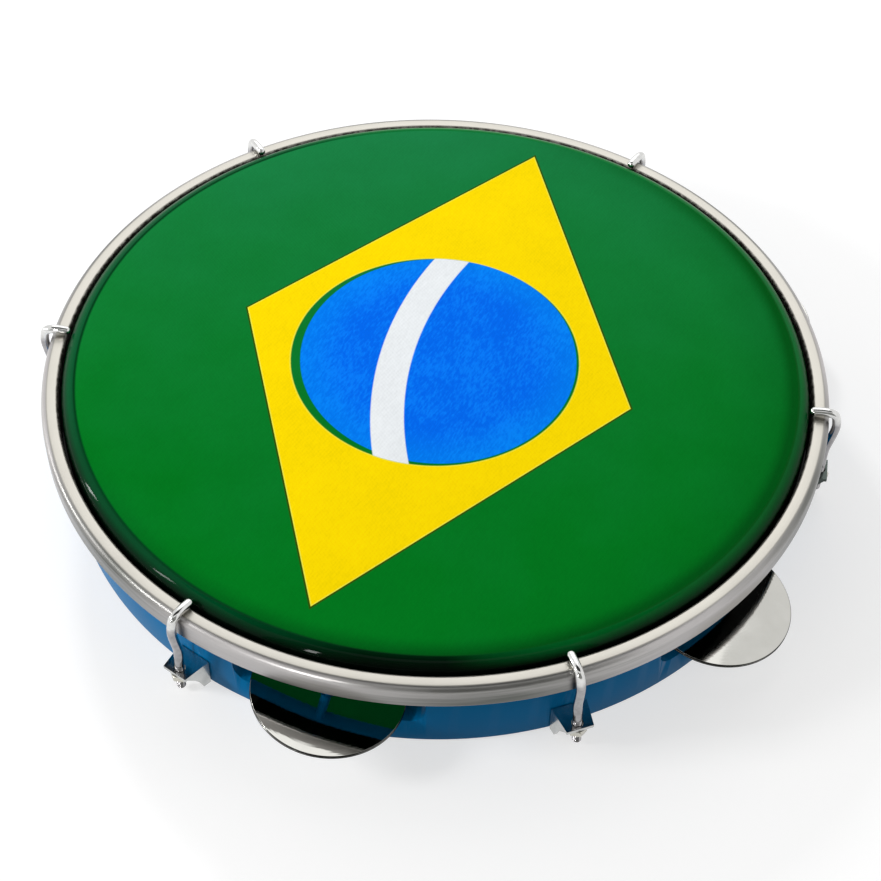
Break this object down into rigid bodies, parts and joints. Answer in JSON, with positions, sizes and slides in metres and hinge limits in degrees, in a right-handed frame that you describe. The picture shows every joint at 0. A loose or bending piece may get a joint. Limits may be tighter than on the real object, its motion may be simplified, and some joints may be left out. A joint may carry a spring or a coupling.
{
  "type": "pandeiro",
  "caption": "Pandeiro: shallow one-headed frame drum with a slotted shell, loose jingle pairs on pins, and a film head held by a folded hoop and wire hooks.",
  "frame": {"origin": "centre of the shell's bottom edge, on the drum's axis", "axes": "+Z along the drum's axis, out through the head; -Y towards the side that the picture faces; +X to the picture's right"},
  "size_m": [0.2691, 0.2852, 0.0396],
  "materials": {
    "shell_plastic": "injection-moulded blue plastic, satin gloss",
    "printed_film": "printed polyester film, green ground with a yellow rhombus and a blue disc",
    "flesh_aluminium": "plain drawn aluminium strip",
    "hoop_chrome": "bright chromed steel",
    "hook_chrome": "bright chromed steel wire",
    "bracket_chrome": "bright chromed pressed steel",
    "nut_steel": "zinc-plated steel",
    "rivet_steel": "zinc-plated steel",
    "jingle_steel": "bright nickel-plated sheet steel",
    "pin_steel": "plain steel pin"
  },
  "bodies": {
    "drum": {"shell": "shell_plastic", "head_film": "printed_film", "flesh_hoop": "flesh_aluminium", "counter_hoop": "hoop_chrome", "hook_bracket_1": "bracket_chrome", "hook_bracket_2": "bracket_chrome", "hook_bracket_3": "bracket_chrome", "hook_bracket_4": "bracket_chrome", "hook_bracket_5": "bracket_chrome", "hook_bracket_6": "bracket_chrome", "bracket_rivet_1": "rivet_steel", "bracket_rivet_2": "rivet_steel", "bracket_rivet_3": "rivet_steel", "bracket_rivet_4": "rivet_steel", "bracket_rivet_5": "rivet_steel", "bracket_rivet_6": "rivet_steel", "jingle_pin_1": "pin_steel", "jingle_pin_2": "pin_steel", "jingle_pin_3": "pin_steel", "jingle_pin_4": "pin_steel", "jingle_pin_5": "pin_steel"},
    "nut_1": {"hook_nut_1": "nut_steel"},
    "hook_1": {"tension_hook_1": "hook_chrome"},
    "nut_2": {"hook_nut_2": "nut_steel"},
    "hook_2": {"tension_hook_2": "hook_chrome"},
    "nut_3": {"hook_nut_3": "nut_steel"},
    "hook_3": {"tension_hook_3": "hook_chrome"},
    "nut_4": {"hook_nut_4": "nut_steel"},
    "hook_4": {"tension_hook_4": "hook_chrome"},
    "nut_5": {"hook_nut_5": "nut_steel"},
    "hook_5": {"tension_hook_5": "hook_chrome"},
    "nut_6": {"hook_nut_6": "nut_steel"},
    "hook_6": {"tension_hook_6": "hook_chrome"},
    "lower_disc_1": {"lower_jingle_1": "jingle_steel"},
    "upper_disc_1": {"upper_jingle_1": "jingle_steel"},
    "lower_disc_2": {"lower_jingle_2": "jingle_steel"},
    "upper_disc_2": {"upper_jingle_2": "jingle_steel"},
    "lower_disc_3": {"lower_jingle_3": "jingle_steel"},
    "upper_disc_3": {"upper_jingle_3": "jingle_steel"},
    "lower_disc_4": {"lower_jingle_4": "jingle_steel"},
    "upper_disc_4": {"upper_jingle_4": "jingle_steel"},
    "lower_disc_5": {"lower_jingle_5": "jingle_steel"},
    "upper_disc_5": {"upper_jingle_5": "jingle_steel"}
  },
  "joints": [
    {"name": "nut_1_turn", "type": "hinge", "parent": "drum", "child": "nut_1", "pos_m": [-0.07635, -0.10743, 0.0081], "axis": [0, 0, -1], "range_deg": [0, 1800]},
    {"name": "hook_1_lift", "type": "slide", "parent": "drum", "child": "hook_1", "axis": [0, 0, 1], "range_m": [0, 0.0025]},
    {"name": "nut_2_turn", "type": "hinge", "parent": "drum", "child": "nut_2", "pos_m": [0.04529, -0.12377, 0.0081], "axis": [0, 0, -1], "range_deg": [0, 1800]},
    {"name": "hook_2_lift", "type": "slide", "parent": "drum", "child": "hook_2", "axis": [0, 0, 1], "range_m": [0, 0.0025]},
    {"name": "nut_3_turn", "type": "hinge", "parent": "drum", "child": "nut_3", "pos_m": [0.13028, -0.01994, 0.0081], "axis": [0, 0, -1], "range_deg": [0, 1800]},
    {"name": "hook_3_lift", "type": "slide", "parent": "drum", "child": "hook_3", "axis": [0, 0, 1], "range_m": [0, 0.0025]},
    {"name": "nut_4_turn", "type": "hinge", "parent": "drum", "child": "nut_4", "pos_m": [0.07408, 0.10901, 0.0081], "axis": [0, 0, -1], "range_deg": [0, 1800]},
    {"name": "hook_4_lift", "type": "slide", "parent": "drum", "child": "hook_4", "axis": [0, 0, 1], "range_m": [0, 0.0025]},
    {"name": "nut_5_turn", "type": "hinge", "parent": "drum", "child": "nut_5", "pos_m": [-0.0712, 0.11091, 0.0081], "axis": [0, 0, -1], "range_deg": [0, 1800]},
    {"name": "hook_5_lift", "type": "slide", "parent": "drum", "child": "hook_5", "axis": [0, 0, 1], "range_m": [0, 0.0025]},
    {"name": "nut_6_turn", "type": "hinge", "parent": "drum", "child": "nut_6", "pos_m": [-0.13139, 0.01034, 0.0081], "axis": [0, 0, -1], "range_deg": [0, 1800]},
    {"name": "hook_6_lift", "type": "slide", "parent": "drum", "child": "hook_6", "axis": [0, 0, 1], "range_m": [0, 0.0025]},
    {"name": "lower_disc_1_rise", "type": "slide", "parent": "drum", "child": "lower_disc_1", "axis": [0, 0, 1], "range_m": [0, 0.0045]},
    {"name": "upper_disc_1_rise", "type": "slide", "parent": "lower_disc_1", "child": "upper_disc_1", "axis": [0, 0, 1], "range_m": [0, 0.0045]},
    {"name": "lower_disc_2_rise", "type": "slide", "parent": "drum", "child": "lower_disc_2", "axis": [0, 0, 1], "range_m": [0, 0.0065]},
    {"name": "upper_disc_2_rise", "type": "slide", "parent": "lower_disc_2", "child": "upper_disc_2", "axis": [0, 0, 1], "range_m": [0, 0.0065]},
    {"name": "lower_disc_3_rise", "type": "slide", "parent": "drum", "child": "lower_disc_3", "axis": [0, 0, 1], "range_m": [0, 0.006]},
    {"name": "upper_disc_3_rise", "type": "slide", "parent": "lower_disc_3", "child": "upper_disc_3", "axis": [0, 0, 1], "range_m": [0, 0.006]},
    {"name": "lower_disc_4_rise", "type": "slide", "parent": "drum", "child": "lower_disc_4", "axis": [0, 0, 1], "range_m": [0, 0.006]},
    {"name": "upper_disc_4_rise", "type": "slide", "parent": "lower_disc_4", "child": "upper_disc_4", "axis": [0, 0, 1], "range_m": [0, 0.006]},
    {"name": "lower_disc_5_rise", "type": "slide", "parent": "drum", "child": "lower_disc_5", "axis": [0, 0, 1], "range_m": [0, 0.0055]},
    {"name": "upper_disc_5_rise", "type": "slide", "parent": "lower_disc_5", "child": "upper_disc_5", "axis": [0, 0, 1], "range_m": [0, 0.0055]}
  ],
  "couplings": [
    {"joint": "nut_1_turn", "follows": "hook_1_lift", "rad_per_m": 12566},
    {"joint": "nut_2_turn", "follows": "hook_2_lift", "rad_per_m": 12566},
    {"joint": "nut_3_turn", "follows": "hook_3_lift", "rad_per_m": 12566},
    {"joint": "nut_4_turn", "follows": "hook_4_lift", "rad_per_m": 12566},
    {"joint": "nut_5_turn", "follows": "hook_5_lift", "rad_per_m": 12566},
    {"joint": "nut_6_turn", "follows": "hook_6_lift", "rad_per_m": 12566}
  ]
}
